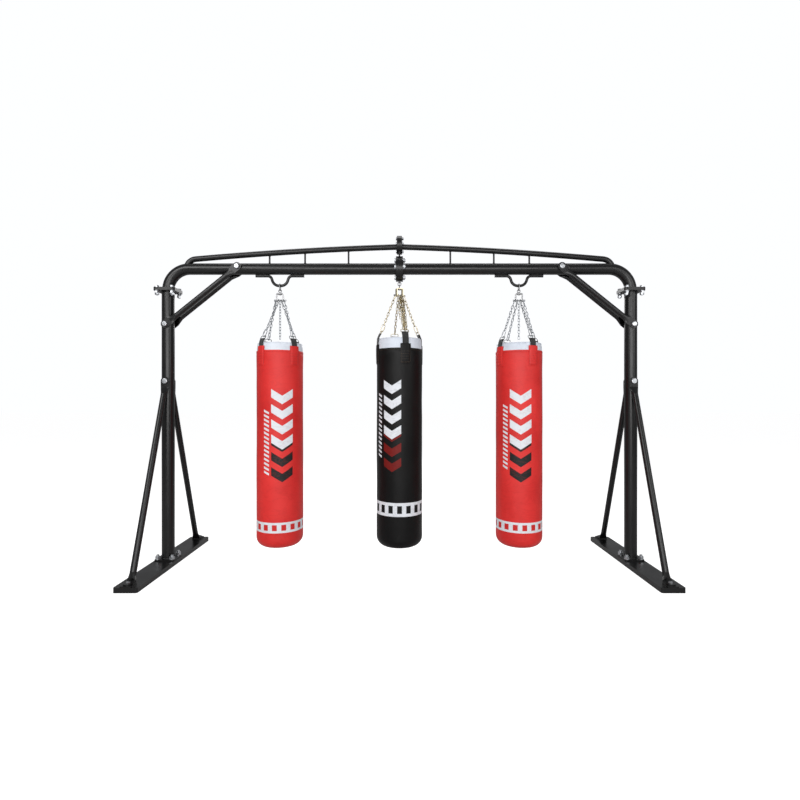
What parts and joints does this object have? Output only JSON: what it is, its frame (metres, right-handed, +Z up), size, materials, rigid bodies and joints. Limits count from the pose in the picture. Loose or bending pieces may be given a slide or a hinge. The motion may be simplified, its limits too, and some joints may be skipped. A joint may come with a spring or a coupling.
{
  "type": "punching bag stand",
  "caption": "Wide free-standing steel gantry with bolted posts, beam halves, arched rail and braces, carrying long heavy bags on chains, shackles and swivels.",
  "frame": {"origin": "on the floor, under the middle of the gantry", "axes": "+X along the beam to the right, +Y towards the back, +Z up"},
  "size_m": [3.478, 1.1, 2.349],
  "materials": {
    "frame_paint": "semi-gloss black powder coat",
    "zinc_bolts": "bright zinc plate",
    "hanging_zinc": "zinc plate",
    "chain_zinc": "bright zinc plate",
    "chain_brass": "warm yellow-passivated steel",
    "cover_red": "smooth synthetic leather",
    "cover_black": "smooth synthetic leather",
    "collar_white": "smooth synthetic leather",
    "webbing_black": "woven webbing",
    "filling": "packed textile shreds"
  },
  "bodies": {
    "root": {"base_plate_left": "frame_paint", "post_left": "frame_paint", "beam_left": "frame_paint", "rail_left": "frame_paint", "rail_struts_left": "frame_paint", "hanger_left": "frame_paint", "corner_brace_front_left": "frame_paint", "corner_brace_rear_left": "frame_paint", "brace_front_left": "frame_paint", "brace_rear_left": "frame_paint", "brace_pads_left": "frame_paint", "base_plate_right": "frame_paint", "post_right": "frame_paint", "beam_right": "frame_paint", "rail_right": "frame_paint", "rail_struts_right": "frame_paint", "hanger_right": "frame_paint", "corner_brace_front_right": "frame_paint", "corner_brace_rear_right": "frame_paint", "brace_front_right": "frame_paint", "brace_rear_right": "frame_paint", "brace_pads_right": "frame_paint", "post_foot_bolts": "zinc_bolts", "post_joint_bolts": "zinc_bolts", "corner_brace_bolts": "zinc_bolts", "base_brace_bolts": "zinc_bolts", "brace_foot_bolts": "zinc_bolts", "centre_bolts": "zinc_bolts", "centre_plate": "frame_paint", "eye_bolt": "hanging_zinc"},
    "shackle_left": {"shackle_left": "hanging_zinc"},
    "swivel_left": {"swivel_eye_left": "hanging_zinc"},
    "bag_left": {"swivel_yoke_left": "chain_zinc", "cross_bolt_left": "chain_zinc", "chains_left": "chain_zinc", "cover_left": "cover_red", "filling_left": "filling", "collar_left": "collar_white", "straps_left": "webbing_black", "strap_rings_left": "chain_zinc"},
    "shackle_middle": {"shackle_middle": "hanging_zinc"},
    "swivel_middle": {"swivel_eye_middle": "hanging_zinc"},
    "bag_middle": {"swivel_yoke_middle": "chain_brass", "cross_bolt_middle": "chain_brass", "chains_middle": "chain_brass", "cover_middle": "cover_black", "filling_middle": "filling", "collar_middle": "collar_white", "straps_middle": "webbing_black", "strap_rings_middle": "chain_brass"},
    "shackle_right": {"shackle_right": "hanging_zinc"},
    "swivel_right": {"swivel_eye_right": "hanging_zinc"},
    "bag_right": {"swivel_yoke_right": "chain_zinc", "cross_bolt_right": "chain_zinc", "chains_right": "chain_zinc", "cover_right": "cover_red", "filling_right": "filling", "collar_right": "collar_white", "straps_right": "webbing_black", "strap_rings_right": "chain_zinc"}
  },
  "joints": [
    {"name": "swing_left", "type": "hinge", "parent": "root", "child": "shackle_left", "pos_m": [-0.859, 0, 1.993], "axis": [1, 0, 0], "range_deg": [-45, 45]},
    {"name": "tilt_left", "type": "hinge", "parent": "shackle_left", "child": "swivel_left", "pos_m": [-0.859, 0, 1.9573], "axis": [0, 1, 0], "range_deg": [-7, 7]},
    {"name": "spin_left", "type": "hinge", "parent": "swivel_left", "child": "bag_left", "pos_m": [-0.859, 0, 1.8866], "axis": [0, 0, 1], "continuous": true},
    {"name": "swing_middle", "type": "hinge", "parent": "root", "child": "shackle_middle", "pos_m": [0, 0, 2.0188], "axis": [1, 0, 0], "range_deg": [-45, 45]},
    {"name": "tilt_middle", "type": "hinge", "parent": "shackle_middle", "child": "swivel_middle", "pos_m": [0, 0, 1.9991], "axis": [0, 1, 0], "range_deg": [-7, 7]},
    {"name": "spin_middle", "type": "hinge", "parent": "swivel_middle", "child": "bag_middle", "pos_m": [0, 0, 1.9221], "axis": [0, 0, 1], "continuous": true},
    {"name": "swing_right", "type": "hinge", "parent": "root", "child": "shackle_right", "pos_m": [0.859, 0, 1.993], "axis": [1, 0, 0], "range_deg": [-45, 45]},
    {"name": "tilt_right", "type": "hinge", "parent": "shackle_right", "child": "swivel_right", "pos_m": [0.859, 0, 1.9573], "axis": [0, 1, 0], "range_deg": [-7, 7]},
    {"name": "spin_right", "type": "hinge", "parent": "swivel_right", "child": "bag_right", "pos_m": [0.859, 0, 1.8866], "axis": [0, 0, 1], "continuous": true}
  ]
}
